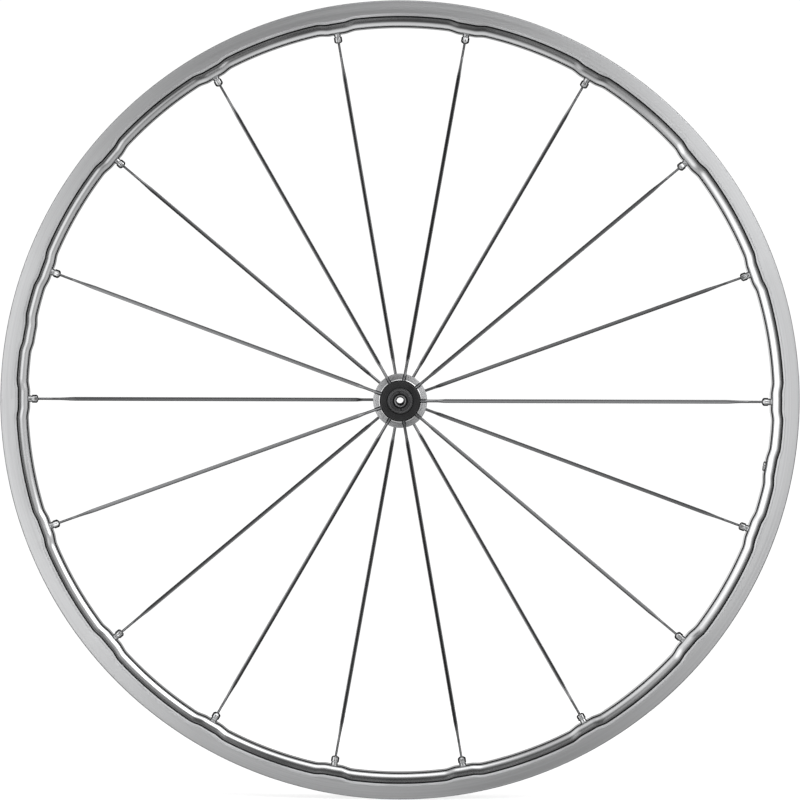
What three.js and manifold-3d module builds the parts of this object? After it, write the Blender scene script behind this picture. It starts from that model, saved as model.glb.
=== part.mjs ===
// A bare front wheel for a road bicycle: 18 radial bladed spokes, a milled hollow rim and a hub on two
// cartridge bearings. Millimetres. The axle lies along Y, the wheel stands in the XZ plane with +Z up, and
// the origin is its centre.
// The right side of the wheel is -Y and the left side is +Y.
import * as THREE from 'three';
import { mergeVertices } from 'three/addons/utils/BufferGeometryUtils.js';
import Module from 'manifold-3d';

const wasm = await Module();
wasm.setup();

// ---- Driving dimensions ------------------------------------------------------------------------------

const FIT_GAP = 0.3; // clearance between pieces that sit in or against each other

const SPOKES_PER_SIDE = 9;
const SPOKE_STEP = 180 / SPOKES_PER_SIDE; // degrees between neighbouring spokes, which alternate sides
const VALVE_ANGLE = -10; // degrees from +X towards +Z
const JOINT_ANGLE = 170; // where the two ends of the rim are welded together

const RIM = {
  outerRadius: 317,
  halfWidth: 9.75,
  brakeTrackBottom: 306.6,
  innerRadius: 296.9,
  bedHalfWidth: 4.3,
  beadSeat: 311,
  well: 307.4,
  bossHeight: 1.7,
  bossHalfAngle: 1.2,
  bossRampAngle: 1.4,
  longestStep: 8, // degrees between sections of the rim
};

const SPOKE = {
  flangeOffset: 35, // from the centre plane to the spoke where it leaves the flange
  flangeRadius: 19,
  rimRadius: 300,
  neckRadius: 1.15,
  threadRadius: 1.0,
  headRadius: 2.3,
  bladeHalfWidth: 1.55,
  bladeHalfThickness: 0.6,
  sides: 6,
};

const NIPPLE = {
  start: 287.3,
  bodyRadius: 2.95,
  neckRadius: 2.4,
  shankRadius: 2.5,
  end: 299.6,
};

const VALVE = {
  holeRadius: 4,
  stemRadius: 3.3,
  proud: 1,
  bushDepth: 3, // how far the bush reaches into the spoke bed
};

const HUB = {
  flangeRadius: 21.2,
  flangeInner: 31,
  flangeOuter: 39,
  barrelRadius: 13,
  coverSeatRadius: 16.2,
  coverSeatDepth: 37.2,
  collarRadius: 12.9,
  collarEnd: 39.6,
  slotWidth: 3,
  pocketWidth: 5.2,
  pocketBottom: 13.2,
};

const BEARING = {
  boreRadius: 5,
  outerRadius: 11,
  width: 6,
  middle: 36.3, // from the centre plane
  pitchRadius: 8,
  ballRadius: 1.5875,
  balls: 9,
};

const RACE = {
  landGap: 1.25, // from the pitch circle to each race's shoulder
  grooveGap: 1.75, // from the pitch circle to the bottom of each groove
  grooveHalfBottom: 0.8,
  grooveHalfMouth: 1.3,
};

const CAGE = {
  halfHeight: 0.45,
  start: 0.9, // from the middle of the balls to the cage's near face
  end: 1.9,
};

const SEAL = {
  thickness: 0.4,
  sink: 0.2, // below the bearing's end face
  landClearance: 0.2,
};

const AXLE = {
  boreRadius: 3,
  mouthRadius: 3.65,
  mouthDepth: 2.4,
  endRadius: 4.5,
  seatRadius: 5,
  shoulderRadius: 6.2,
  halfLength: 54,
};

const CAP = {
  radius: 9.4,
  face: 50, // half of the 100 mm between the fork's dropouts
  faceInnerRadius: 8,
  spannerRadius: 6.6,
  spannerHoleRadius: 0.9,
  spannerHoleDepth: 3,
  spannerAngle: 98,
};

// Sides of the round pieces.
const FACETS = {
  drill: 8,
  bush: 12,
  hubShell: 27,
  cover: 24,
  axle: 18,
  cap: 24,
  race: 20,
  cage: 18,
};

// ---- Materials ---------------------------------------------------------------------------------------

function material(color, roughness, metalness) {
  return new THREE.MeshStandardMaterial({ color, roughness, metalness });
}

const LOOKS = {
  rim: [0xc4c5c7, 0.32, 1],
  spoke: [0xa9abae, 0.22, 1],
  nipple: [0xd0d1d3, 0.25, 1],
  hub: [0xb4b5b8, 0.3, 1],
  axle: [0x8d8f92, 0.3, 1],
  bearingSteel: [0x9a9ca0, 0.15, 1],
  blackPlastic: [0x1d1d1f, 0.45, 0],
  blackAlloy: [0x27272a, 0.4, 0.6],
  seal: [0x2a2320, 0.7, 0],
  grommet: [0xbfc0c2, 0.35, 1],
};

// ---- Geometry helpers --------------------------------------------------------------------------------

// Position-only copy with shared vertices, turned so that its faces point out.
function closed(source) {
  const geometry = source.clone();
  geometry.deleteAttribute('normal');
  geometry.deleteAttribute('uv');
  const merged = mergeVertices(geometry, 1e-4);
  const index = merged.index.array;
  const corner = [0, 1, 2].map(() => new THREE.Vector3());
  const kept = [];
  let volume = 0;
  for (let i = 0; i < index.length; i += 3) {
    const [a, b, c] = index.slice(i, i + 3);
    if (a === b || b === c || c === a) {
      continue;
    }
    kept.push(a, b, c);
    corner.forEach((v, k) => v.fromBufferAttribute(merged.attributes.position, index[i + k]));
    volume += corner[0].dot(corner[1].clone().cross(corner[2]));
  }
  if (volume < 0) {
    kept.reverse();
  }
  merged.setIndex(kept);
  return merged;
}

function toSolid(geometry) {
  const shape = closed(geometry);
  const vertProperties = new Float32Array(shape.attributes.position.array);
  const triVerts = new Uint32Array(shape.index.array);
  return new wasm.Manifold(new wasm.Mesh({ numProp: 3, vertProperties, triVerts }));
}

function fromSolid(solid) {
  const mesh = solid.getMesh();
  const geometry = new THREE.BufferGeometry();
  geometry.setAttribute('position', new THREE.BufferAttribute(new Float32Array(mesh.vertProperties), 3));
  geometry.setIndex(new THREE.BufferAttribute(new Uint32Array(mesh.triVerts), 1));
  return geometry;
}

// A ring turned about Y from a closed outline of [radius, y] points.
function turned(outline, segments) {
  const points = [...outline, outline[0]].map(([radius, y]) => new THREE.Vector2(radius, y));
  return new THREE.LatheGeometry(points, segments);
}

// A skin over rings of equal point count, either closed into a loop or capped at both ends.
function lofted(rings, loop) {
  const count = rings[0].length;
  const positions = rings.flat().flatMap((p) => [p.x, p.y, p.z]);
  const index = [];
  const spans = loop ? rings.length : rings.length - 1;
  for (let i = 0; i < spans; i += 1) {
    const here = i * count;
    const next = ((i + 1) % rings.length) * count;
    for (let k = 0; k < count; k += 1) {
      const l = (k + 1) % count;
      index.push(here + k, here + l, next + l);
      index.push(here + k, next + l, next + k);
    }
  }
  if (!loop) {
    const last = (rings.length - 1) * count;
    for (let k = 1; k < count - 1; k += 1) {
      index.push(0, k + 1, k);
      index.push(last, last + k, last + k + 1);
    }
  }
  const geometry = new THREE.BufferGeometry();
  geometry.setAttribute('position', new THREE.Float32BufferAttribute(positions, 3));
  geometry.setIndex(index);
  return geometry;
}

// Turns a shape built along +X in the XZ plane to an angle from +X towards +Z.
function toAngle(geometry, degrees) {
  return geometry.rotateY(-THREE.MathUtils.degToRad(degrees));
}

function mirrored(outline, side) {
  return outline.map(([radius, y]) => [radius, side * y]);
}

// ---- The assembly ------------------------------------------------------------------------------------

const wheel = new THREE.Group();
const SIDES = [
  { name: 'right', sign: -1, firstAngle: 0 },
  { name: 'left', sign: 1, firstAngle: SPOKE_STEP },
];

function add(name, geometry, look) {
  const mesh = new THREE.Mesh(closed(geometry), material(...LOOKS[look]));
  mesh.name = name;
  wheel.add(mesh);
}

function spokeAngles(side) {
  return Array.from({ length: SPOKES_PER_SIDE }, (_, i) => side.firstAngle + 2 * SPOKE_STEP * i);
}

// ---- Rim ---------------------------------------------------------------------------------------------

const BOSS_ANGLES = [...SIDES.flatMap(spokeAngles), VALVE_ANGLE, JOINT_ANGLE]
  .map((angle) => (angle + 360) % 360)
  .sort((a, b) => a - b);

// Inward shift of the rim's spoke side: full on a boss, none where the rim is milled thin.
function bossShift(angle) {
  const distances = BOSS_ANGLES.map((boss) => Math.abs(((angle - boss + 540) % 360) - 180));
  const past = Math.min(...distances) - RIM.bossHalfAngle;
  return RIM.bossHeight * THREE.MathUtils.clamp(1 - past / RIM.bossRampAngle, 0, 1);
}

function rimStations() {
  const reach = RIM.bossHalfAngle + RIM.bossRampAngle;
  const stations = [];
  BOSS_ANGLES.forEach((boss, i) => {
    const nextBoss = BOSS_ANGLES[(i + 1) % BOSS_ANGLES.length] + (i + 1 === BOSS_ANGLES.length ? 360 : 0);
    stations.push(boss - reach, boss - RIM.bossHalfAngle, boss + RIM.bossHalfAngle, boss + reach);
    const gap = nextBoss - boss - 2 * reach;
    const steps = Math.ceil(gap / RIM.longestStep);
    for (let k = 1; k < steps; k += 1) {
      stations.push(boss + reach + (gap * k) / steps);
    }
  });
  return stations;
}

// Half of the rim's section as [distance from the centre plane, radius], from the tyre well round to the
// spoke bed. The last points move in with the bosses.
function rimOutline(shift) {
  const top = RIM.outerRadius;
  const edge = RIM.halfWidth;
  const crease = RIM.brakeTrackBottom - shift;
  const bed = RIM.innerRadius - shift;
  return [
    [4.6, RIM.well],
    [7.8, RIM.beadSeat],
    [8.4, top - 3],
    [7.5, top - 1.9],
    [7.9, top],
    [edge - 0.6, top],
    [edge, top - 0.9],
    [edge, crease],
    [edge - 0.5, crease - 1.5],
    [edge - 1.3, crease - 2.4],
    [edge - 0.95, crease - 3.6],
    [edge - 2, bed + 2.4],
    [RIM.bedHalfWidth, bed],
  ];
}

// The hollow between the tyre well and the spoke bed. Milling doesn't change it.
function rimHollow() {
  return [
    [4.2, RIM.well - 1],
    [8.4, RIM.beadSeat - 2.2],
    [6.7, RIM.innerRadius + 4.2],
    [4.4, RIM.innerRadius + 1.2],
  ];
}

function rimRing(half, angle) {
  const whole = [...half, ...half.map(([y, radius]) => [-y, radius]).reverse()];
  const turn = THREE.MathUtils.degToRad(angle);
  return whole.map(([y, r]) => new THREE.Vector3(r * Math.cos(turn), y, r * Math.sin(turn)));
}

function alongSpoke(radius, side) {
  const slope = SPOKE.flangeOffset / (SPOKE.rimRadius - SPOKE.flangeRadius);
  return new THREE.Vector3(radius, side.sign * slope * (SPOKE.rimRadius - radius), 0);
}

// A drill along a spoke's line, or straight along the radius where no side is given.
function drill(angle, holeRadius, from, to, side) {
  const start = side ? alongSpoke(from, side) : new THREE.Vector3(from, 0, 0);
  const end = side ? alongSpoke(to, side) : new THREE.Vector3(to, 0, 0);
  const along = end.clone().sub(start);
  const tool = new THREE.CylinderGeometry(holeRadius, holeRadius, along.length(), FACETS.drill);
  const up = new THREE.Vector3(0, 1, 0);
  tool.applyQuaternion(new THREE.Quaternion().setFromUnitVectors(up, along.clone().normalize()));
  tool.translate(...start.add(end).multiplyScalar(0.5).toArray());
  return toSolid(toAngle(tool, angle));
}

function buildRim() {
  const stations = rimStations();
  const belowBed = RIM.innerRadius - RIM.bossHeight - 5;
  const insideHollow = RIM.brakeTrackBottom - 3.6;
  const aboveWell = RIM.well + 4.6;
  let rim = toSolid(lofted(stations.map((a) => rimRing(rimOutline(bossShift(a)), a)), true));
  rim = rim.subtract(toSolid(lofted(stations.map((a) => rimRing(rimHollow(), a)), true)));
  for (const side of SIDES) {
    for (const angle of spokeAngles(side)) {
      rim = rim.subtract(drill(angle, NIPPLE.shankRadius + FIT_GAP, belowBed, insideHollow, side));
    }
  }
  rim = rim.subtract(drill(VALVE_ANGLE, VALVE.holeRadius, belowBed, aboveWell));
  add('rim', fromSolid(rim), 'rim');
}

// The bush that lines the valve hole in the spoke bed and stands a little proud of its boss.
function buildValveGrommet() {
  const bed = RIM.innerRadius - RIM.bossHeight;
  const collar = bed - VALVE.proud;
  const bushRadius = VALVE.holeRadius - FIT_GAP;
  const outline = [
    [VALVE.stemRadius, collar],
    [bushRadius - 0.3, collar],
    [bushRadius, collar + 0.3],
    [bushRadius, bed + VALVE.bushDepth],
    [VALVE.stemRadius, bed + VALVE.bushDepth],
  ];
  const bush = turned(outline, FACETS.bush).rotateZ(-Math.PI / 2);
  add('valve_grommet', toAngle(bush, VALVE_ANGLE), 'grommet');
}

// ---- Spokes and nipples ------------------------------------------------------------------------------

// A polygon across a spoke's line: halfWidth lies in the wheel's plane, halfThickness across it.
function crossSection(radius, halfWidth, halfThickness, side) {
  const centre = alongSpoke(radius, side);
  const line = alongSpoke(radius + 1, side).sub(centre).normalize();
  const across = new THREE.Vector3(-line.y, line.x, 0);
  const tangent = new THREE.Vector3(0, 0, 1);
  return Array.from({ length: SPOKE.sides }, (_, k) => {
    const turn = (2 * Math.PI * k) / SPOKE.sides;
    return centre
      .clone()
      .addScaledVector(tangent, halfWidth * Math.cos(turn))
      .addScaledVector(across, halfThickness * Math.sin(turn));
  });
}

// Head in the flange's pocket, round neck, wide blade, and the round threaded end in the nipple.
function spokeShape(side) {
  const stations = [
    [13.5, SPOKE.headRadius - 0.3, SPOKE.headRadius - 0.3],
    [14.9, SPOKE.headRadius, SPOKE.headRadius],
    [16, SPOKE.neckRadius, SPOKE.neckRadius],
    [29, SPOKE.neckRadius, SPOKE.neckRadius],
    [35, SPOKE.bladeHalfWidth, SPOKE.bladeHalfThickness],
    [258, SPOKE.bladeHalfWidth, SPOKE.bladeHalfThickness],
    [273, SPOKE.threadRadius, SPOKE.threadRadius],
    [297.5, SPOKE.threadRadius, SPOKE.threadRadius],
  ];
  return lofted(stations.map(([radius, a, b]) => crossSection(radius, a, b, side)), false);
}

// Hexagonal nipple: a spanner body, a narrow neck next to the rim and a shank in the rim's boss, bored for
// the spoke.
function nippleShape(side) {
  const bore = SPOKE.threadRadius + FIT_GAP;
  const { start, bodyRadius, neckRadius, shankRadius, end } = NIPPLE;
  const stations = [
    [start, bore],
    [start, bodyRadius - 0.9],
    [start + 1, bodyRadius],
    [start + 5.3, bodyRadius],
    [start + 6.1, neckRadius],
    [start + 7.6, neckRadius],
    [start + 8.3, shankRadius],
    [end, shankRadius],
    [end, bore],
  ];
  return lofted(stations.map(([radius, r]) => crossSection(radius, r, r, side)), true);
}

function buildSpokesAndNipples() {
  for (const side of SIDES) {
    spokeAngles(side).forEach((angle, i) => {
      add(`spoke_${side.name}_${i + 1}`, toAngle(spokeShape(side), angle), 'spoke');
      add(`nipple_${side.name}_${i + 1}`, toAngle(nippleShape(side), angle), 'nipple');
    });
  }
}

// ---- Hub ---------------------------------------------------------------------------------------------

// Half of the hub shell's section as [radius, distance from the centre plane], from its bore round to the
// barrel.
function hubHalfOutline() {
  const seat = BEARING.outerRadius + FIT_GAP;
  const bearingStart = BEARING.middle - BEARING.width / 2 - FIT_GAP;
  return [
    [9.6, bearingStart],
    [seat, bearingStart],
    [seat, HUB.collarEnd],
    [HUB.collarRadius, HUB.collarEnd],
    [HUB.collarRadius, HUB.coverSeatDepth],
    [HUB.coverSeatRadius, HUB.coverSeatDepth],
    [HUB.coverSeatRadius, HUB.flangeOuter - 0.5],
    [HUB.coverSeatRadius + 0.5, HUB.flangeOuter],
    [HUB.flangeRadius - 0.5, HUB.flangeOuter],
    [HUB.flangeRadius, HUB.flangeOuter - 0.5],
    [HUB.flangeRadius, HUB.flangeInner + 0.5],
    [HUB.flangeRadius - 0.5, HUB.flangeInner],
    [HUB.barrelRadius + 3.4, HUB.flangeInner - 3],
    [HUB.barrelRadius, HUB.flangeInner - 8],
  ];
}

function box(size, centre) {
  return new THREE.BoxGeometry(...size).translate(...centre);
}

// The opening in a flange for one spoke: a pocket for its head and a slot for its neck, open to the end
// face.
function spokeSeat(angle, side) {
  const open = HUB.flangeOuter + 1;
  const lineAtFlange = Math.abs(alongSpoke(HUB.flangeRadius, side).y);
  const slotFloor = lineAtFlange - SPOKE.neckRadius - FIT_GAP;
  const lineAtHead = Math.abs(alongSpoke(HUB.pocketBottom, side).y);
  const pocketFloor = lineAtHead - SPOKE.headRadius - FIT_GAP;
  const slotEnd = HUB.flangeRadius + 2;
  const slotStart = HUB.pocketBottom + 1;
  const slotMiddle = [(slotStart + slotEnd) / 2, (side.sign * (slotFloor + open)) / 2, 0];
  const slot = box([slotEnd - slotStart, open - slotFloor, HUB.slotWidth], slotMiddle);
  const pocketMiddle = [
    (HUB.pocketBottom + HUB.coverSeatRadius) / 2,
    (side.sign * (pocketFloor + open)) / 2,
    0,
  ];
  const pocketSize = [HUB.coverSeatRadius - HUB.pocketBottom, open - pocketFloor, HUB.pocketWidth];
  const pocket = box(pocketSize, pocketMiddle);
  return toSolid(toAngle(slot, angle)).add(toSolid(toAngle(pocket, angle)));
}

function buildHubShell() {
  const half = hubHalfOutline();
  const outline = [...half, ...mirrored(half, -1).reverse()];
  let shell = toSolid(turned(outline, FACETS.hubShell));
  for (const side of SIDES) {
    for (const angle of spokeAngles(side)) {
      shell = shell.subtract(spokeSeat(angle, side));
    }
  }
  add('hub_shell', fromSolid(shell), 'hub');
}

// The black cover that hides the spoke heads. It turns with the hub.
function buildHubCover(side) {
  const rimRadius = HUB.coverSeatRadius - FIT_GAP;
  const holeRadius = CAP.radius + 0.5;
  const start = HUB.coverSeatDepth + FIT_GAP;
  const outline = [
    [HUB.collarRadius + FIT_GAP, start],
    [rimRadius, start],
    [rimRadius, start + 3.3],
    [rimRadius - 0.7, start + 4],
    [holeRadius, start + 4.4],
    [holeRadius, start + 3],
    [HUB.collarRadius + FIT_GAP, start + 2.8],
  ];
  add(`${side.name}_hub_cover`, turned(mirrored(outline, side.sign), FACETS.cover), 'blackPlastic');
}

function buildAxle() {
  const shoulder = BEARING.middle - BEARING.width / 2 - FIT_GAP;
  const half = [
    [AXLE.boreRadius, AXLE.halfLength - AXLE.mouthDepth],
    [AXLE.mouthRadius, AXLE.halfLength - AXLE.mouthDepth],
    [AXLE.mouthRadius, AXLE.halfLength],
    [AXLE.endRadius - 0.4, AXLE.halfLength],
    [AXLE.endRadius, AXLE.halfLength - 0.4],
    [AXLE.endRadius, CAP.face - 4],
    [AXLE.seatRadius, CAP.face - 4],
    [AXLE.seatRadius, shoulder],
    [AXLE.shoulderRadius, shoulder],
  ];
  const outline = [...half, ...mirrored(half, -1).reverse()];
  add('axle', turned(outline, FACETS.axle), 'axle');
}

// The piece that the fork's dropout bears on: a boss against the inner race, a round body and a dished end
// face.
function capShape(side) {
  const bore = AXLE.seatRadius + FIT_GAP;
  const start = BEARING.middle + BEARING.width / 2 + FIT_GAP;
  const outline = [
    [bore, start],
    [bore + 1.6, start],
    [bore + 1.6, start + 1.2],
    [CAP.radius, start + 1.4],
    [CAP.radius, CAP.face - 0.4],
    [CAP.radius - 0.4, CAP.face],
    [CAP.faceInnerRadius, CAP.face],
    [bore + 0.2, CAP.face - 1.3],
    [bore, CAP.face - 1.5],
  ];
  return turned(mirrored(outline, side.sign), FACETS.cap);
}

// The right cap is threaded onto the axle and sets the bearings' play. A pin spanner turns it.
function buildAdjusterNut(side) {
  let nut = toSolid(capShape(side));
  for (const angle of [CAP.spannerAngle, CAP.spannerAngle + 180]) {
    const radius = CAP.spannerHoleRadius;
    const tool = new THREE.CylinderGeometry(radius, radius, 2 * CAP.spannerHoleDepth, FACETS.drill);
    tool.translate(CAP.spannerRadius, side.sign * CAP.face, 0);
    nut = nut.subtract(toSolid(toAngle(tool, angle)));
  }
  add('adjuster_nut', fromSolid(nut), 'blackAlloy');
}

// ---- Bearings ----------------------------------------------------------------------------------------

// A race from its plain cylindrical face to its grooved face. towards is +1 for the outer race and -1 for
// the inner.
function raceOutline(plainRadius, towards) {
  const half = BEARING.width / 2;
  const land = BEARING.pitchRadius + towards * RACE.landGap;
  const groove = BEARING.pitchRadius + towards * RACE.grooveGap;
  return [
    [plainRadius, -half],
    [plainRadius, half],
    [land, half],
    [land, RACE.grooveHalfMouth],
    [groove, RACE.grooveHalfBottom],
    [groove, -RACE.grooveHalfBottom],
    [land, -RACE.grooveHalfMouth],
    [land, -half],
  ];
}

function sealOutline(towards) {
  const inner = BEARING.pitchRadius - RACE.landGap + SEAL.landClearance;
  const outer = BEARING.pitchRadius + RACE.landGap - SEAL.landClearance;
  const near = towards * (BEARING.width / 2 - SEAL.sink);
  const far = near - towards * SEAL.thickness;
  return [[inner, near], [outer, near], [outer, far], [inner, far]];
}

// Balls joined by their cage, which carries them round together.
function ballSetShape(side) {
  const inner = BEARING.pitchRadius - CAGE.halfHeight;
  const outer = BEARING.pitchRadius + CAGE.halfHeight;
  const cage = [[inner, CAGE.start], [outer, CAGE.start], [outer, CAGE.end], [inner, CAGE.end]];
  let set = toSolid(turned(mirrored(cage, side.sign), FACETS.cage));
  for (let i = 0; i < BEARING.balls; i += 1) {
    const ball = new THREE.SphereGeometry(BEARING.ballRadius, 6, 4).translate(BEARING.pitchRadius, 0, 0);
    set = set.add(toSolid(toAngle(ball, (360 * i) / BEARING.balls)));
  }
  return fromSolid(set);
}

function buildBearing(side) {
  const place = (geometry) => geometry.translate(0, side.sign * BEARING.middle, 0);
  const ring = (outline) => place(turned(outline, FACETS.race));
  const boreRadius = BEARING.boreRadius + FIT_GAP;
  add(`${side.name}_outer_race`, ring(raceOutline(BEARING.outerRadius, 1)), 'bearingSteel');
  add(`${side.name}_inner_race`, ring(raceOutline(boreRadius, -1)), 'bearingSteel');
  add(`${side.name}_ball_set`, place(ballSetShape(side)), 'bearingSteel');
  add(`${side.name}_outer_seal`, ring(sealOutline(side.sign)), 'seal');
  add(`${side.name}_inner_seal`, ring(sealOutline(-side.sign)), 'seal');
}

// ---- Build -------------------------------------------------------------------------------------------

buildRim();
buildValveGrommet();
buildSpokesAndNipples();
buildHubShell();
buildAxle();
for (const side of SIDES) {
  buildBearing(side);
  buildHubCover(side);
}
buildAdjusterNut(SIDES[0]);
add('left_end_cap', capShape(SIDES[1]), 'blackAlloy');

export default wheel;
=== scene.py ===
import math

import bpy
from mathutils import Matrix, Vector


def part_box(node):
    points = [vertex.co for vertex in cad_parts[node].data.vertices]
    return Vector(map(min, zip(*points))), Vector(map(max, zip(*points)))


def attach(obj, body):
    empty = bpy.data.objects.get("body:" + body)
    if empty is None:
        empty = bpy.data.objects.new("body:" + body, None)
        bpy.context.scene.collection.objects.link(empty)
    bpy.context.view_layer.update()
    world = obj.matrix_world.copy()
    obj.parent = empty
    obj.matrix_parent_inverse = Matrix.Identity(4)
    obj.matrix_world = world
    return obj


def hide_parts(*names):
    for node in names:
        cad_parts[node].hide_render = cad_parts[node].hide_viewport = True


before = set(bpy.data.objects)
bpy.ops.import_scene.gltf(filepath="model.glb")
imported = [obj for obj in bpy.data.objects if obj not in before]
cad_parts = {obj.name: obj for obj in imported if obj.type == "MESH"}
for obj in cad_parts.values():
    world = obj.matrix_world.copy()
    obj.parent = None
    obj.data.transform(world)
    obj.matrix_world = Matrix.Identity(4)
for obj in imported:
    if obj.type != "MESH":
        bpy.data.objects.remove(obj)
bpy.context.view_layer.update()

# The wheel's axle lies along Y. The right side is -Y, the left side is +Y. Sizes are in millimetres and
# become metres in the meshes. Angles around the axle are in degrees and run from +X towards +Z.
MM = 0.001

# ---- Sizes read from the frame -----------------------------------------------------------------------


def top_of(node):
    """The highest corner of a CAD node in millimetres."""
    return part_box(node)[1] / MM


def low_of(node):
    """The lowest corner of a CAD node in millimetres."""
    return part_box(node)[0] / MM


def outward_span(node):
    """Where a CAD node on the left side starts and ends along Y in millimetres."""
    return low_of(node).y, top_of(node).y


RIM_RADIUS = top_of("rim").z
RIM_HALF_WIDTH = top_of("rim").y
AXLE_END = top_of("axle").y
FLANGE_RADIUS = top_of("hub_shell").z
SHELL_END = top_of("hub_shell").y
COVER_START = low_of("left_hub_cover").y
COVER_RADIUS = top_of("left_hub_cover").z
CAP_RADIUS = top_of("left_end_cap").z
CAP_START, CAP_FACE = outward_span("left_end_cap")
BEARING_RADIUS = top_of("left_outer_race").z
BEARING_START, BEARING_END = outward_span("left_outer_race")
BEARING_MIDDLE = (BEARING_START + BEARING_END) / 2
BEARING_HALF = (BEARING_END - BEARING_START) / 2

# ---- Driving dimensions of the detail ----------------------------------------------------------------

FIT_GAP = 0.3  # between pieces that sit in or against each other

SPOKES_PER_SIDE = 9
SPOKE_STEP = 180 / SPOKES_PER_SIDE
VALVE_ANGLE = -10
JOINT_ANGLE = 170  # where the two ends of the rim are welded together
SIDES = {"right": (-1, 0), "left": (1, SPOKE_STEP)}  # its direction along Y, the angle of its first spoke

RIM_DEPTH = 20.8  # between the bosses, the thick places that hold the nipples
BOSS_HEIGHT = 1.4
BOSS_HALF_ANGLE = 1.1
BOSS_RAMP_ANGLE = 1.9
BRAKE_TRACK_DEPTH = 10.4
BED_RADIUS = RIM_RADIUS - RIM_DEPTH
CREASE_RADIUS = RIM_RADIUS - BRAKE_TRACK_DEPTH
GROOVE_TOP = CREASE_RADIUS - 1.9
BEAD_TOP = CREASE_RADIUS - 3.1  # the bead is the rounded part of the rim on the spokes' side
BEAD_CROWN = RIM_HALF_WIDTH - 0.9
BED_HALF_WIDTH = 4.3  # of the flat between the two beads
WELL_RADIUS = 307.4
TYRE_SEAT = 311
NIPPLE_HOLE = 2.75
VALVE_HOLE = 4.0
DRILL_START = 291  # nearer to the axle than any boss
DRILL_END = 302
GROMMET_BORE = 3.3
GROMMET_RADIUS = 3.7
GROMMET_PROUD = 1.0
GROMMET_DEPTH = 3

SPOKE_FLANGE_OFFSET = 35  # from the centre plane to a spoke where it leaves the flange
SPOKE_FLANGE_RADIUS = 19
SPOKE_RIM_RADIUS = 300
HEAD_RADIUS = 2.3
NECK_RADIUS = 1.15
NECK_END = 29
BLADE_START = 35.5
BLADE_END = 258
ROUND_START = 273
SPOKE_END = 297.5
SPOKE_CHAMFER = 0.3
THREAD_RADIUS = 1.0
THREAD_START = 277
THREAD_END = 289
THREAD_PITCH = 0.45
BLADE_HALF_WIDTH = 1.55
BLADE_HALF_THICKNESS = 0.6

NIPPLE_START = 288.1
NIPPLE_END = 299.6
NIPPLE_RADIUS = 3.25
NIPPLE_NECK = 2.4
NIPPLE_COLLAR = 2.7
NIPPLE_SHANK = 2.5
NIPPLE_BORE = THREAD_RADIUS + 0.12
NIPPLE_FLUTES = 6
FLUTE_DEPTH = 0.38

AXLE_BORE = 2.85
AXLE_MOUTH = 3.6
AXLE_TIP = 4.5
AXLE_SEAT = 5.0
AXLE_SHOULDER = 6.2

CAP_BORE = AXLE_SEAT + FIT_GAP
DISH_RADIUS = 8.0
DISH_MIDDLE = 6.1
SERRATIONS = 60
TOOTH_STEPS = 6
SERRATION_DEPTH = 0.16
SPANNER_RADIUS = 6.6
SPANNER_HOLE = 0.9
SPANNER_ANGLE = 98

BALLS = 9
BALL_RADIUS = 1.5875
PITCH_RADIUS = 8.0
BALL_ROWS = 12
BALL_COLUMNS = 20
CAGE_HALF_HEIGHT = 0.45
CAGE_START = 0.9  # from the middle of the balls
CAGE_END = 1.9
LAND_GAP = 1.25  # from the pitch circle to each race's shoulder
GROOVE_RADIUS = 1.68
SEAL_SINK = 0.2  # below the bearing's end face
SEAL_THICKNESS = 0.4

# ---- Mesh helpers ------------------------------------------------------------------------------------


def make_object(name, verts, faces, materials, zones=None, sharp=35):
    """A smooth-shaded mesh object from points in millimetres, with a material number for each face."""
    mesh = bpy.data.meshes.new(name)
    mesh.from_pydata([Vector(v) * MM for v in verts], [], faces)
    for material in materials:
        mesh.materials.append(material)
    if zones:
        mesh.polygons.foreach_set("material_index", zones)
    mesh.validate()
    mesh.update()
    obj = bpy.data.objects.new(name, mesh)
    bpy.context.scene.collection.objects.link(obj)
    shade(obj, sharp)
    return obj


def shade(obj, sharp):
    """Smooth shading that keeps edges sharper than that angle in degrees."""
    mesh = obj.data
    mesh.polygons.foreach_set("use_smooth", [True] * len(mesh.polygons))
    mesh.set_sharp_from_angle(angle=math.radians(sharp))


def loft(rings, loop):
    """Faces over rings of equal point count, closed into a loop or capped at both ends."""
    count = len(rings[0])
    verts = [p for ring in rings for p in ring]
    faces = []
    spans = len(rings) if loop else len(rings) - 1
    for i in range(spans):
        here = i * count
        there = (i + 1) % len(rings) * count
        for k in range(count):
            last = (k + 1) % count
            faces.append((here + k, there + k, there + last, here + last))
    if not loop:
        faces.append(tuple(range(count)))
        end = (len(rings) - 1) * count
        faces.append(tuple(end + k for k in reversed(range(count))))
    return verts, faces


def area_of(outline):
    """The signed area of a closed outline."""
    pairs = zip(outline, outline[1:] + outline[:1])
    return sum(a[0] * b[1] - b[0] * a[1] for a, b in pairs) / 2


def filleted(corners, steps=5):
    """A closed outline from (u, v, fillet radius) corners, each corner rounded with an arc."""
    points = []
    count = len(corners)
    for i, (u, v, radius) in enumerate(corners):
        here = Vector((u, v))
        before = Vector(corners[i - 1][:2]) - here
        after = Vector(corners[(i + 1) % count][:2]) - here
        if radius <= 0 or before.length < 1e-6 or after.length < 1e-6:
            points.append((u, v))
            continue
        half = before.angle(after) / 2
        if math.pi / 2 - half < 0.02:
            points.append((u, v))
            continue
        reach = min(radius / math.tan(half), 0.45 * before.length, 0.45 * after.length)
        start = here + before.normalized() * reach
        end = here + after.normalized() * reach
        centre = here + (before.normalized() + after.normalized()).normalized() * reach / math.cos(half)
        a = start - centre
        b = end - centre
        sweep = a.angle_signed(b)
        for k in range(steps + 1):
            turn = Matrix.Rotation(-sweep * k / steps, 2)
            points.append(tuple(centre + turn @ a))
    return points


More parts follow.
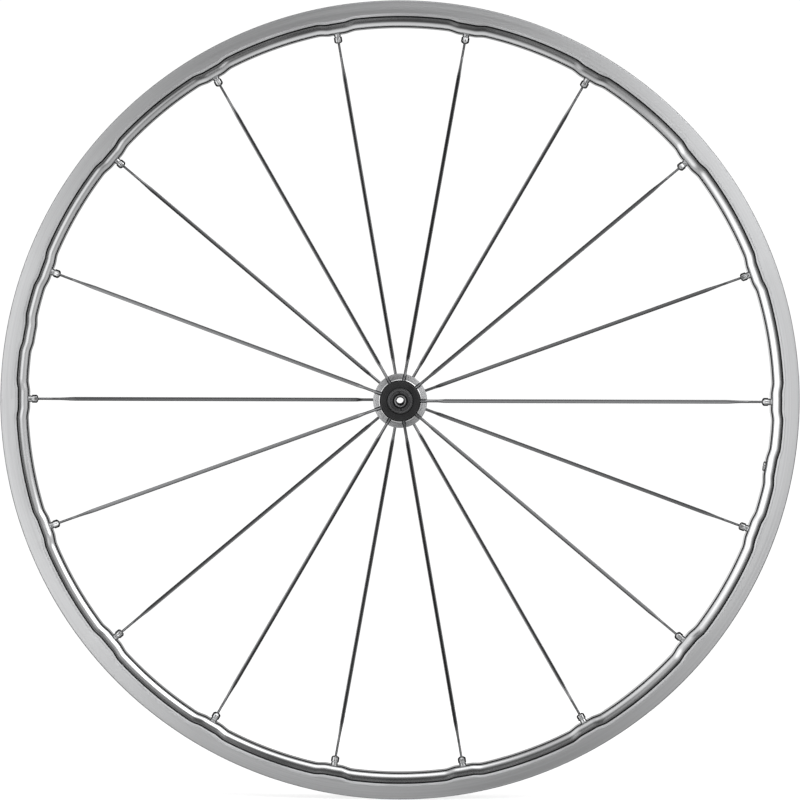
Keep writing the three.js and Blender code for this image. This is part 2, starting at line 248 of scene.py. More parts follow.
def polar(radius, y, degrees):
    """A point at that radius and angle around the axle."""
    turn = math.radians(degrees)
    return (radius * math.cos(turn), y, radius * math.sin(turn))


def turned(outline, segments, lift=None):
    """A ring turned about Y from a closed outline of (radius, y). lift moves its points along Y."""
    if area_of(outline) > 0:
        outline = outline[::-1]
    rings = []
    for i in range(segments):
        angle = 360 * i / segments
        shift = [lift(r, y, i) if lift else 0 for r, y in outline]
        rings.append([polar(r, y + d, angle) for (r, y), d in zip(outline, shift)])
    return loft(rings, True)


def mirrored(outline, sign):
    """The outline for that side of the wheel, from one drawn for the left side."""
    return [(p[0], sign * p[1], *p[2:]) for p in outline]


def rotated(verts, degrees):
    """Points turned about the axle."""
    c = math.cos(math.radians(degrees))
    s = math.sin(math.radians(degrees))
    return [(x * c - z * s, y, x * s + z * c) for x, y, z in verts]


def cut(obj, cutters, sharp=35):
    """Takes the cutters out of the object, then deletes them."""
    for cutter in cutters:
        modifier = obj.modifiers.new("cut", "BOOLEAN")
        modifier.operation = "DIFFERENCE"
        modifier.solver = "EXACT"
        modifier.object = cutter
    apply_modifiers(obj)
    for cutter in cutters:
        bpy.data.objects.remove(cutter)
    shade(obj, sharp)


def apply_modifiers(obj):
    """Makes the result of an object's modifiers its mesh."""
    graph = bpy.context.evaluated_depsgraph_get()
    mesh = bpy.data.meshes.new_from_object(obj.evaluated_get(graph))
    obj.modifiers.clear()
    obj.data = mesh


def joined(parts):
    """One mesh from several (points, faces)."""
    verts = []
    faces = []
    for part_verts, part_faces in parts:
        faces += [tuple(i + len(verts) for i in face) for face in part_faces]
        verts += part_verts
    return verts, faces


def joined_cutters(name, parts):
    """One cutter object from several closed meshes that don't touch each other."""
    return make_object(name, *joined(parts), [])


def both_halves(half):
    """A whole outline of (radius, y, fillet) from its left half, whose ends lie on the centre plane."""
    return half + [(r, -y, fillet) for r, y, fillet in reversed(half[1:-1])]


def radii(verts, face):
    """The distances of a face's corners from the axle."""
    return [math.hypot(verts[i][0], verts[i][2]) for i in face]


def place(obj, body, slot, *nodes):
    """Ties a finished piece to its body, its material slot and the CAD nodes that it stands for."""
    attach(obj, body)
    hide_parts(*nodes)


# ---- Materials ---------------------------------------------------------------------------------------

NOISE_RANGE = (0.3, 0.7)  # the values that most of a noise lies between

class Shading:
    """A node tree that nodes are added to."""

    def __init__(self, tree):
        self.tree = tree

    def node(self, kind, **values):
        made = self.tree.nodes.new(kind)
        for key, value in values.items():
            setattr(made, key, value)
        return made

    def link(self, source, target):
        self.tree.links.new(source, target)


class Surface(Shading):
    """A metal, plastic or rubber: a Principled shader with procedural colour, roughness and bump."""

    def __init__(self, name, color, metallic, roughness, anisotropic=0.0, specular=0.5):
        self.material = bpy.data.materials.new(name)
        self.material.use_nodes = True
        super().__init__(self.material.node_tree)
        self.shader = self.tree.nodes["Principled BSDF"]
        self.color = color
        self.set("Base Color", (*color, 1))
        self.set("Metallic", metallic)
        self.set("Roughness", roughness)
        self.set("Specular IOR Level", specular)
        self.set("Anisotropic", anisotropic)

    def set(self, socket, value):
        """Sets a constant on one of the shader's own sockets."""
        self.shader.inputs[socket].default_value = value

    def math(self, operation, *values):
        """A math node over numbers and other nodes' outputs."""
        node = self.node("ShaderNodeMath", operation=operation)
        for socket, value in zip(node.inputs, values):
            if isinstance(value, (int, float)):
                socket.default_value = value
            else:
                self.link(value, socket)
        return node.outputs[0]

    def local(self):
        """The object's own coordinates in metres, as a vector and as x, y, z."""
        coordinates = self.node("ShaderNodeTexCoord").outputs["Object"]
        split = self.node("ShaderNodeSeparateXYZ")
        self.link(coordinates, split.inputs[0])
        return coordinates, split.outputs

    def around_axle(self, radial_scale, angular_scale, axial_scale):
        """Coordinates that follow a piece turned about the axle: radius, angle and distance along it."""
        _, (x, y, z) = self.local()
        square = self.math("ADD", self.math("MULTIPLY", x, x), self.math("MULTIPLY", z, z))
        radius = self.math("SQRT", square)
        angle = self.math("ARCTAN2", z, x)
        vector = self.node("ShaderNodeCombineXYZ")
        self.link(self.math("MULTIPLY", radius, radial_scale), vector.inputs[0])
        self.link(self.math("MULTIPLY", angle, angular_scale), vector.inputs[1])
        self.link(self.math("MULTIPLY", y, axial_scale), vector.inputs[2])
        return vector.outputs[0]

    def noise(self, vector, scale, detail):
        node = self.node("ShaderNodeTexNoise")
        node.inputs["Scale"].default_value = scale
        node.inputs["Detail"].default_value = detail
        self.link(vector, node.inputs["Vector"])
        return node.outputs["Fac"]

    def tint(self, factor, dark, light):
        """Colour between dark and light times the base colour."""
        ramp = self.node("ShaderNodeValToRGB")
        for element, amount, position in zip(ramp.color_ramp.elements, (dark, light), NOISE_RANGE):
            element.color = (*(min(1.0, c * amount) for c in self.color), 1)
            element.position = position
        self.link(factor, ramp.inputs["Fac"])
        self.link(ramp.outputs["Color"], self.shader.inputs["Base Color"])

    def rough(self, factor, low, high):
        """Roughness that follows a noise from low to high."""
        node = self.node("ShaderNodeMapRange")
        self.link(factor, node.inputs["Value"])
        node.inputs["From Min"].default_value = NOISE_RANGE[0]
        node.inputs["From Max"].default_value = NOISE_RANGE[1]
        node.inputs["To Min"].default_value = low
        node.inputs["To Max"].default_value = high
        self.link(node.outputs["Result"], self.shader.inputs["Roughness"])

    def bump(self, height, distance):
        """Fine relief that follows a noise."""
        node = self.node("ShaderNodeBump")
        node.inputs["Distance"].default_value = distance
        node.inputs["Strength"].default_value = 1.0
        self.link(height, node.inputs["Height"])
        self.link(node.outputs["Normal"], self.shader.inputs["Normal"])

    def turned_grain(self):
        """Stretches the gloss across the circles that turning leaves around the axle."""
        tangent = self.node("ShaderNodeTangent", direction_type="RADIAL", axis="Y")
        self.link(tangent.outputs[0], self.shader.inputs["Tangent"])
        self.set("Anisotropic Rotation", 0.25)


def machined_alloy(name, color, roughness, anisotropic, lines_per_mm, depth):
    """Aluminium with the fine circles of a lathe tool around the axle."""
    s = Surface(name, color, 1.0, roughness, anisotropic)
    s.turned_grain()
    lines = s.noise(s.around_axle(lines_per_mm / MM, 1.5, lines_per_mm / MM), 1.0, 4.0)
    broad = s.noise(s.around_axle(0.35 / MM, 2.0, 0.35 / MM), 1.0, 2.0)
    s.tint(lines, 0.93, 1.03)
    s.rough(broad, roughness * 0.85, roughness * 1.2)
    s.bump(lines, depth * MM)
    return s.material


def satin_alloy(name, color, roughness, grain_mm, depth):
    """Aluminium with an even fine grain, as milled or blasted and then anodised."""
    s = Surface(name, color, 1.0, roughness)
    vector, _ = s.local()
    grain = s.noise(vector, 1 / (grain_mm * MM), 3.0)
    cloud = s.noise(vector, 1 / (40 * MM), 2.0)
    s.tint(cloud, 0.94, 1.03)
    s.rough(cloud, roughness * 0.85, roughness * 1.2)
    s.bump(grain, depth * MM)
    return s.material


def mottled_alloy(name, color, roughness, patch_mm, depth):
    """Dark anodised aluminium with a blotchy, slightly pitted cast surface."""
    s = Surface(name, color, 1.0, roughness)
    vector, _ = s.local()
    patches = s.noise(vector, 1 / (patch_mm * MM), 4.0)
    s.tint(patches, 0.55, 1.35)
    s.rough(patches, roughness * 1.2, roughness * 0.85)
    s.bump(patches, depth * MM)
    return s.material


def drawn_steel(name, color, roughness):
    """Stainless wire: fine lines along the length, from the radius, and small changes of gloss."""
    s = Surface(name, color, 1.0, roughness)
    lines = s.noise(s.around_axle(0.03 / MM, 900.0, 6 / MM), 1.0, 3.0)
    broad = s.noise(s.around_axle(0.02 / MM, 3.0, 0.02 / MM), 1.0, 2.0)
    s.tint(lines, 0.9, 1.04)
    s.rough(broad, roughness * 0.8, roughness * 1.3)
    s.bump(lines, 0.004 * MM)
    return s.material


def moulded_plastic(name, color, roughness):
    """Black nylon: a fine moulded grain, soft flow marks and lighter scuffs."""
    s = Surface(name, color, 0.0, roughness, specular=0.45)
    vector, _ = s.local()
    grain = s.noise(vector, 1 / (0.25 * MM), 2.0)
    flow = s.noise(vector, 1 / (9 * MM), 3.0)
    s.tint(flow, 0.8, 1.5)
    s.rough(flow, roughness * 0.85, roughness * 1.15)
    s.bump(grain, 0.02 * MM)
    return s.material


def plain_metal(name, color, roughness):
    """Ground bearing steel or a small turned fitting."""
    s = Surface(name, color, 1.0, roughness, 0.4)
    s.turned_grain()
    lines = s.noise(s.around_axle(5 / MM, 1.0, 5 / MM), 1.0, 3.0)
    s.tint(lines, 0.92, 1.03)
    s.rough(lines, roughness * 0.8, roughness * 1.3)
    s.bump(lines, 0.003 * MM)
    return s.material


def rubber(name, color):
    """Matt black seal rubber."""
    s = Surface(name, color, 0.0, 0.75, specular=0.3)
    vector, _ = s.local()
    grain = s.noise(vector, 1 / (0.4 * MM), 2.0)
    s.tint(grain, 0.8, 1.3)
    s.rough(grain, 0.65, 0.85)
    s.bump(grain, 0.03 * MM)
    return s.material


def make_materials():
    """The finishes that the pieces use."""
    return {
        "track": machined_alloy("rim_brake_track", (0.9, 0.905, 0.915), 0.46, 0.9, 2.2, 0.001),
        "milled": satin_alloy("rim_milled", (0.9, 0.905, 0.915), 0.15, 0.6, 0.001),
        "channel": satin_alloy("rim_channel", (0.55, 0.555, 0.565), 0.42, 0.4, 0.01),
        "chamfer": satin_alloy("rim_chamfer", (0.78, 0.785, 0.795), 0.5, 0.5, 0.003),
        "groove": satin_alloy("rim_groove", (0.03, 0.031, 0.032), 0.4, 0.3, 0.01),
        "spoke": drawn_steel("spoke_steel_fine", (0.27, 0.273, 0.279), 0.14),
        "nipple": satin_alloy("nipple_bright", (0.72, 0.725, 0.73), 0.22, 0.3, 0.003),
        "hub": machined_alloy("hub_turned", (0.75, 0.755, 0.765), 0.46, 0.85, 4.0, 0.002),
        "lip": satin_alloy("hub_lip", (0.98, 0.98, 0.985), 0.28, 0.5, 0.002),
        "axle": machined_alloy("axle_turned", (0.35, 0.353, 0.36), 0.45, 0.3, 5.0, 0.004),
        "bore": satin_alloy("axle_bore_oxide", (0.05, 0.05, 0.052), 0.5, 0.4, 0.01),
        "grommet": plain_metal("grommet_turned", (0.72, 0.725, 0.73), 0.3),
        "cap": mottled_alloy("cap_black_anodised", (0.2, 0.2, 0.205), 0.5, 0.6, 0.05),
        "cover": moulded_plastic("cover_black_nylon", (0.016, 0.016, 0.017), 0.5),
        "bearing": plain_metal("bearing_ground", (0.62, 0.63, 0.64), 0.18),
        "seal": rubber("seal_black_nitrile", (0.02, 0.019, 0.019)),
    }


# ---- Rim ---------------------------------------------------------------------------------------------

BEAD_STEPS = 16
FINE_STEP = 0.22
COARSE_STEP = 0.7
# The closed hollow between the rim's two walls as (distance from the centre plane, radius, fillet).
HOLLOW = (
    (-8.3, 308.6, 0.8),
    (-4.2, 306.4, 1.5),
    (4.2, 306.4, 1.5),
    (8.3, 308.6, 0.8),
    (6.5, 301.1, 2.0),
    (4.2, 298.1, 1.5),
    (-4.2, 298.1, 1.5),
    (-6.5, 301.1, 2.0),
)


def spoke_angles(first):
    """The angles of one side's spokes, from that of its first."""
    return [first + 2 * SPOKE_STEP * i for i in range(SPOKES_PER_SIDE)]


def boss_angles():
    """Where the rim is thick: at every spoke, at the valve and at the joint."""
    spokes = [angle for _, first in SIDES.values() for angle in spoke_angles(first)]
    return sorted((angle + 360) % 360 for angle in [*spokes, VALVE_ANGLE, JOINT_ANGLE])


def smooth(t):
    """Eases from 0 to 1."""
    t = min(1.0, max(0.0, t))
    return t * t * (3 - 2 * t)


def boss_shift(angle, bosses):
    """How far the spoke side of the rim stands in towards the hub at that angle."""
    nearest = min(abs((angle - boss + 540) % 360 - 180) for boss in bosses)
    return BOSS_HEIGHT * smooth(1 - (nearest - BOSS_HALF_ANGLE) / BOSS_RAMP_ANGLE)


def rim_half_section():
    """Half of the rim's section as (distance from the centre plane, radius), from the tyre well round."""
    edge = RIM_HALF_WIDTH
    top = RIM_RADIUS
    upper = [
        (0, WELL_RADIUS, 0),
        (4.6, WELL_RADIUS, 2.5),
        (7.8, TYRE_SEAT, 1.0),
        (8.4, top - 3, 0.7),
        (7.5, top - 1.9, 0.4),
        (7.9, top, 0.5),
        (edge - 0.55, top, 0.4),
        (edge, top - 0.8, 0.4),
        (edge, CREASE_RADIUS, 0.06),
        (edge - 0.22, CREASE_RADIUS - 0.12, 0.05),
        (edge - 0.22, CREASE_RADIUS - 0.42, 0.05),
        (edge - 0.08, CREASE_RADIUS - 0.55, 0.05),
        (edge - 0.5, GROOVE_TOP, 0.15),
        (edge - 1.35, GROOVE_TOP - 0.95, 0.25),
        (BEAD_CROWN, BEAD_TOP, 0),
        (0, BEAD_TOP, 0),
    ]
    points = filleted(upper, 4)[:-1]
    width = BEAD_CROWN - BED_HALF_WIDTH
    depth = BEAD_TOP - BED_RADIUS
    for k in range(1, BEAD_STEPS + 1):
        t = math.pi / 2 * k / BEAD_STEPS
        points.append((BED_HALF_WIDTH + width * math.cos(t), BEAD_TOP - depth * math.sin(t)))
    points.append((0, BED_RADIUS))
    return points


RIM_FINISHES = ("track", "milled", "channel", "groove", "chamfer")


def rim_finish(a, b):
    """The finish of the rim between two points of its section."""
    outermost = min(abs(a[0]), abs(b[0]))
    middle = (a[1] + b[1]) / 2
    if outermost > RIM_HALF_WIDTH - 0.05:
        return "track"
    if BEAD_TOP < middle < GROOVE_TOP:
        return "groove"
    if GROOVE_TOP <= middle < CREASE_RADIUS + 0.05:
        return "chamfer"
    if middle < CREASE_RADIUS + 0.05:
        return "milled"
    return "channel"


def rim_stations(bosses):
    """The angles of the rim's sections: close together at the bosses and wider apart between them."""
    reach = BOSS_HALF_ANGLE + BOSS_RAMP_ANGLE + 0.2
    angles = []
    for here, there in zip(bosses, bosses[1:] + [bosses[0] + 360]):
        near = round(2 * reach / FINE_STEP)
        angles += [here - reach + 2 * reach * k / near for k in range(near)]
        gap = there - here - 2 * reach
        far = round(gap / COARSE_STEP)
        angles += [here + reach + gap * k / far for k in range(far)]
    return angles


def cylinder(radius, start, end, segments=32):
    """A closed cylinder between two points."""
    start = Vector(start)
    end = Vector(end)
    line = (end - start).normalized()
    side = line.orthogonal().normalized()
    other = line.cross(side)
    rings = []
    for centre in (start, end):
        turn = [2 * math.pi * k / segments for k in range(segments)]
        rings.append([tuple(centre + radius * (math.cos(t) * side + math.sin(t) * other)) for t in turn])
    return loft(rings[::-1], False)


def along_spoke(radius, sign):
    """The point at that radius on the line of a spoke of that side, before it is turned to its angle."""
    slope = SPOKE_FLANGE_OFFSET / (SPOKE_RIM_RADIUS - SPOKE_FLANGE_RADIUS)
    return Vector((radius, sign * slope * (SPOKE_RIM_RADIUS - radius), 0))


def rim_mesh():
    """The rim before it is drilled: points, faces and each face's place in RIM_FINISHES."""
    bosses = boss_angles()
    half = rim_half_section()
    section = half + [(-y, r) for y, r in reversed(half[1:-1])]
    moves = [r < CREASE_RADIUS + 0.3 for _, r in section]
    hollow = filleted(HOLLOW, 3)
    stations = rim_stations(bosses)
    outer = []
    inner = []
    for angle in stations:
        shift = boss_shift(angle, bosses)
        outer.append([polar(r - shift * m, y, angle) for (y, r), m in zip(section, moves)])
        inner.append([polar(r, y, angle) for y, r in hollow])
    walls = loft(inner, True)
    verts, faces = joined([loft(outer, True), walls])
    runs = zip(section, section[1:] + section[:1])
    zones = [RIM_FINISHES.index(rim_finish(a, b)) for a, b in runs] * len(stations)
    zones += [RIM_FINISHES.index("channel")] * len(walls[1])
    return verts, faces, zones


def rim_drills():
    """A cutter for the holes that the nipples' shanks and the valve go through."""
    drills = []
    for sign, first in SIDES.values():
        for angle in spoke_angles(first):
            start = along_spoke(DRILL_START, sign)
            end = along_spoke(DRILL_END, sign)
            verts, faces = cylinder(NIPPLE_HOLE, start, end)
            drills.append((rotated(verts, angle), faces))
    verts, faces = cylinder(VALVE_HOLE, (DRILL_START, 0, 0), (TYRE_SEAT, 0, 0), 48)
    drills.append((rotated(verts, VALVE_ANGLE), faces))
    return joined_cutters("rim_drills", drills)


def build_rim(looks):
    """The hollow rim, milled thin between its bosses and drilled for the nipples and the valve."""
    verts, faces, zones = rim_mesh()
    finishes = [looks[name] for name in RIM_FINISHES]
    rim = make_object("rim_fine", verts, faces, finishes, zones, sharp=30)
    cut(rim, [rim_drills()], sharp=30)
    place(rim, "wheel", "rim_alloy", "rim")


def build_grommet(looks):
    """The bush in the valve hole, which stands proud of its boss."""
    bed = BED_RADIUS - BOSS_HEIGHT
    low = bed - GROMMET_PROUD
    high = bed + GROMMET_DEPTH
    outline = [
        (GROMMET_BORE, low, 0.25),
        (GROMMET_RADIUS, low, 0.25),
        (GROMMET_RADIUS, high, 0),
        (GROMMET_BORE, high, 0),
    ]
    verts, faces = turned(filleted(outline), 64)
    verts = [(y, x, z) for x, y, z in verts]
    faces = [face[::-1] for face in faces]
    bush = make_object("valve_grommet_fine", rotated(verts, VALVE_ANGLE), faces, [looks["grommet"]])
    place(bush, "wheel", "grommet_alloy", "valve_grommet")


# ---- Spokes and nipples ------------------------------------------------------------------------------

# A spoke's head as (radius from the axle, half thickness).
SPOKE_HEAD = (
    (13.5, 1.6),
    (13.7, 2.1),
    (14.1, HEAD_RADIUS),
    (14.8, HEAD_RADIUS),
    (15.3, 1.9),
    (15.8, 1.35),
    (16.3, NECK_RADIUS),
)
THREAD_FORM = (0, 0.04, 0.14, 0.04)  # how deep a thread is at each quarter of its pitch


def cross_section(radius, sign, shape, count):
    """A closed ring across a spoke's line. shape gives (in the wheel's plane, across it) for an angle."""
    centre = along_spoke(radius, sign)
    line = (along_spoke(radius + 1, sign) - centre).normalized()
    across = Vector((-line.y, line.x, 0))
    ring = []
    for k in range(count):
        width, thickness = shape(2 * math.pi * k / count)
        ring.append(tuple(centre + Vector((0, 0, width)) + across * thickness))
    return ring


def spoke_taper(start, end, steps, before, after):
    """Sections that change from one (half width, half thickness) to another."""
    sizes = []
    for k in range(steps + 1):
        t = k / steps
        half_width, half_thickness = (a + (b - a) * smooth(t) for a, b in zip(before, after))
        sizes.append((start + (end - start) * t, half_width, half_thickness))
    return sizes


def spoke_sizes():
    """(radius, half width, half thickness) along a spoke, from its head to its threaded end."""
    neck = (NECK_RADIUS, NECK_RADIUS)
    blade = (BLADE_HALF_WIDTH, BLADE_HALF_THICKNESS)
    end = (THREAD_RADIUS, THREAD_RADIUS)
    sizes = [(radius, size, size) for radius, size in SPOKE_HEAD]
    sizes += spoke_taper(NECK_END, BLADE_START, 8, neck, blade)
    sizes += [(BLADE_START + (BLADE_END - BLADE_START) * k / 10, *blade) for k in range(1, 10)]
    sizes += spoke_taper(BLADE_END, ROUND_START, 10, blade, end)
    turns = round((THREAD_END - THREAD_START) / THREAD_PITCH)
    for k in range(4 * turns):
        size = THREAD_RADIUS - THREAD_FORM[k % 4]
        sizes.append((THREAD_START + THREAD_PITCH * k / 4, size, size))
    tip = THREAD_RADIUS - SPOKE_CHAMFER
    sizes += [(SPOKE_END - SPOKE_CHAMFER, *end), (SPOKE_END, tip, tip)]
    return sizes


def spoke_mesh(sign):
    """A spoke, round at its ends and flat-sided along the blade."""
    rings = []
    for radius, half_width, half_thickness in spoke_sizes():
        power = 1 - 0.5 * min(1, (half_width / half_thickness - 1) / 1.5)

        def oval(t, a=half_width, b=half_thickness, power=power):
            c = math.cos(t)
            s = math.sin(t)
            return a * math.copysign(abs(c) ** power, c), b * math.copysign(abs(s) ** power, s)
        rings.append(cross_section(radius, sign, oval, 32))
    return loft(rings, False)


def nipple_sizes():
    """(distance from the axle, radius, share of the flutes' depth) around a nipple's section."""
    start = NIPPLE_START
    end = NIPPLE_END
    return [
        (start + 0.5, NIPPLE_BORE, 0),
        (start, NIPPLE_BORE + 0.25, 0),
        (start, 1.75, 0.1),
        (start + 0.15, 2.15, 0.3),
        (start + 0.5, 2.6, 0.6),
        (start + 0.9, 2.95, 0.9),
        (start + 1.2, NIPPLE_RADIUS, 1),
        (start + 4.5, NIPPLE_RADIUS, 1),
        (start + 4.9, 2.9, 0.7),
        (start + 5.1, NIPPLE_NECK, 0.1),
        (start + 5.4, NIPPLE_NECK, 0),
        (start + 5.5, NIPPLE_COLLAR - 0.1, 0),
        (start + 5.6, NIPPLE_COLLAR, 0),
        (start + 6.1, NIPPLE_COLLAR, 0),
        (start + 6.2, NIPPLE_COLLAR - 0.1, 0),
        (start + 6.2, NIPPLE_SHANK, 0),
        (end - 0.3, NIPPLE_SHANK, 0),
        (end, 2.3, 0),
        (end, NIPPLE_BORE, 0),
    ]


def nipple_mesh(sign):
    """A fluted spanner body with a rounded end, a neck next to the rim and a shank in the boss."""
    rings = []
    for radius, size, fluted in nipple_sizes():
        def flute(t, size=size, depth=FLUTE_DEPTH * fluted):
            wave = 0.5 + 0.5 * math.cos(NIPPLE_FLUTES * t)
            r = size - depth * (1 - wave ** 0.6)
            return r * math.cos(t), r * math.sin(t)
        rings.append(cross_section(radius, sign, flute, 64))
    return loft(rings, True)


def build_spokes(looks):
    """Every spoke and its nipple."""
    for side, (sign, first) in SIDES.items():
        kinds = (
            ("spoke", "spoke_steel", 35, spoke_mesh(sign)),
            ("nipple", "nipple_alloy", 40, nipple_mesh(sign)),
        )
        for i, angle in enumerate(spoke_angles(first), start=1):
            for kind, slot, sharp, (verts, faces) in kinds:
                node = f"{kind}_{side}_{i}"
                look = [looks[kind]]
                piece = make_object(f"{node}_fine", rotated(verts, angle), faces, look, sharp=sharp)
                place(piece, "wheel", slot, node)


# ---- Hub ---------------------------------------------------------------------------------------------

FLANGE_FACE = SHELL_END - 0.6
COVER_EDGE = COVER_RADIUS - 0.35
SEAT_RADIUS = COVER_EDGE + FIT_GAP
LIP_HEIGHT = 0.4  # of the narrow ridge around the cover's seat
COLLAR_RADIUS = 12.9
SHOULDER = BEARING_MIDDLE - BEARING_HALF - FIT_GAP
SLOT_WIDTH = 3.0
POCKET_WIDTH = 5.2
POCKET_BOTTOM = 13.2
POCKET_DEPTH = 2.6  # below the spoke's line


def hub_half_outline():
    """Half of the hub shell as (radius, distance from the centre plane, fillet), bore first."""
    face = FLANGE_FACE
    cover_floor = COVER_START - FIT_GAP
    return [
        (9.6, 0, 0),
        (9.6, SHOULDER, 0.2),
        (11.3, SHOULDER, 0.2),
        (11.3, SHELL_END, 0.3),
        (COLLAR_RADIUS, SHELL_END, 0.3),
        (COLLAR_RADIUS, cover_floor, 0.2),
        (SEAT_RADIUS, cover_floor, 0.2),
        (SEAT_RADIUS, face + 0.12, 0.05),
        (SEAT_RADIUS + 0.45, face + LIP_HEIGHT, 0.12),
        (SEAT_RADIUS + 0.95, face + 0.12, 0.05),
        (SEAT_RADIUS + 1.0, face - 0.45, 0.1),
        (SEAT_RADIUS + 1.4, face - 0.45, 0.1),
        (SEAT_RADIUS + 1.5, face, 0.08),
        (FLANGE_RADIUS - 0.35, face, 0.3),
        (FLANGE_RADIUS, face - 0.5, 0.3),
        (FLANGE_RADIUS, face - 7.5, 0.4),
        (FLANGE_RADIUS - 0.6, face - 8, 0.4),
        (17.2, face - 10.2, 4.0),
        (13, face - 16, 8.0),
        (12.6, 0, 0),
    ]


def box_mesh(low, high):
    """A closed box between two corners."""
    x0, y0, z0 = low
    x1, y1, z1 = high
    rings = [[(x0, y, z0), (x1, y, z0), (x1, y, z1), (x0, y, z1)] for y in sorted((y0, y1))]
    return loft(rings, False)


def spoke_seat(angle, sign):
    """The slot for a spoke's neck and the pocket for its head, open to the flange's end face."""
    open_end = sign * (SHELL_END + 1)
    slot_floor = along_spoke(SPOKE_FLANGE_RADIUS, sign).y - sign * (NECK_RADIUS + FIT_GAP)
    pocket_floor = along_spoke(POCKET_BOTTOM, sign).y - sign * POCKET_DEPTH
    half = SLOT_WIDTH / 2
    slot = box_mesh((POCKET_BOTTOM + 1, slot_floor, -half), (FLANGE_RADIUS + 2, open_end, half))
    half = POCKET_WIDTH / 2
    pocket = box_mesh((POCKET_BOTTOM, pocket_floor, -half), (SEAT_RADIUS, open_end, half))
    return (rotated(slot[0], angle), slot[1]), (rotated(pocket[0], angle), pocket[1])


def on_lip(verts, face):
    """Whether a face of the hub shell belongs to the ridge around the cover's seat."""
    lowest = min(abs(verts[i][1]) for i in face)
    return lowest > FLANGE_FACE + 0.05 and min(radii(verts, face)) > COLLAR_RADIUS + 1


def build_hub_shell(looks):
    """The turned shell, slotted for the spokes' necks and pocketed for their heads."""
    verts, faces = turned(filleted(both_halves(hub_half_outline()), 5), 360)
    zones = [int(on_lip(verts, face)) for face in faces]
    shell = make_object("hub_shell_fine", verts, faces, [looks["hub"], looks["lip"]], zones, sharp=30)
    seats = [spoke_seat(angle, sign) for sign, first in SIDES.values() for angle in spoke_angles(first)]
    slots = joined_cutters("hub_slots", [slot for slot, _ in seats])
    pockets = joined_cutters("hub_pockets", [pocket for _, pocket in seats])
    cut(shell, [slots, pockets], sharp=30)
    soften_edges(shell, 0.12)
    place(shell, "wheel", "hub_alloy", "hub_shell")


def soften_edges(obj, width):
    """Breaks the sharp edges that cutting left."""
    bevel = obj.modifiers.new("edges", "BEVEL")
    bevel.width = width * MM
    bevel.segments = 2
    bevel.limit_method = "ANGLE"
    bevel.angle_limit = math.radians(50)
    bevel.use_clamp_overlap = True
    apply_modifiers(obj)
    shade(obj, 30)


def build_cover(side, sign, looks):
    """The moulded cover over the spoke heads, nearly flat with a rounded edge and a soft inner lip."""
    start = COVER_START
    hole = CAP_RADIUS + 0.5
    inner = COLLAR_RADIUS + FIT_GAP
    outline = [
        (inner, start, 0),
        (COVER_EDGE, start, 0.2),
        (COVER_EDGE, start + 3.3, 0.8),
        (COVER_EDGE - 0.7, start + 4.0, 0.8),
        (hole + 0.8, start + 4.35, 0.3),
        (hole, start + 4.0, 0.1),
        (hole, start + 3, 0.2),
        (inner, start + 2.8, 0.5),
    ]
    verts, faces = turned(filleted(mirrored(outline, sign), 6), 256)
    cover = make_object(f"{side}_hub_cover_fine", verts, faces, [looks["cover"]])
    place(cover, "wheel", "black_plastic", f"{side}_hub_cover")


def zones_within(radius, verts, faces):
    """1 for each face that lies wholly within that radius of the axle, and 0 for the others."""
    return [int(max(radii(verts, face)) < radius) for face in faces]


def build_axle(looks):
    """The hollow axle, whose bore is black."""
    step = CAP_FACE - 4
    half = [
        (AXLE_BORE, 0, 0),
        (AXLE_BORE, AXLE_END - 2.6, 0.1),
        (AXLE_MOUTH, AXLE_END - 2.2, 0.1),
        (AXLE_MOUTH, AXLE_END, 0.3),
        (AXLE_TIP, AXLE_END, 0.45),
        (AXLE_TIP, step, 0.1),
        (AXLE_SEAT, step, 0.15),
        (AXLE_SEAT, SHOULDER, 0.1),
        (AXLE_SHOULDER, SHOULDER, 0.2),
        (AXLE_SHOULDER, 0, 0),
    ]
    verts, faces = turned(filleted(both_halves(half), 4), 160)
    zones = zones_within(AXLE_MOUTH + 0.1, verts, faces)
    axle = make_object("axle_fine", verts, faces, [looks["axle"], looks["bore"]], zones)
    place(axle, "axle", "axle_alloy", "axle")


def cap_mesh(sign):
    """Boss, round body and dished end face. The ring that meets the fork has fine radial serrations."""
    outline = [
        (CAP_BORE, CAP_START, 0.1),
        (CAP_BORE + 1.6, CAP_START, 0.2),
        (CAP_BORE + 1.6, CAP_START + 1.2, 0.1),
        (CAP_RADIUS, CAP_START + 1.4, 0.3),
        (CAP_RADIUS, CAP_FACE - 0.5, 0.4),
        (CAP_RADIUS - 0.5, CAP_FACE, 0.3),
        (DISH_RADIUS, CAP_FACE, 0.15),
        (7.6, CAP_FACE - 0.5, 0.3),
        (5.9, CAP_FACE - 1.4, 0.6),
        (CAP_BORE, CAP_FACE - 1.6, 0.2),
    ]

    def serrate(radius, y, i):
        on_ring = DISH_RADIUS <= radius <= CAP_RADIUS - 0.4 and abs(y) > CAP_FACE - 0.05
        in_tooth_gap = i % TOOTH_STEPS < TOOTH_STEPS / 2
        return -sign * SERRATION_DEPTH if on_ring and in_tooth_gap else 0

    return turned(filleted(mirrored(outline, sign), 5), TOOTH_STEPS * SERRATIONS, serrate)


def make_cap(name, sign, looks):
    """An end piece, whose deep middle is as black as the axle's bore."""
    verts, faces = cap_mesh(sign)
    zones = zones_within(DISH_MIDDLE, verts, faces)
    return make_object(name, verts, faces, [looks["cap"], looks["bore"]], zones)


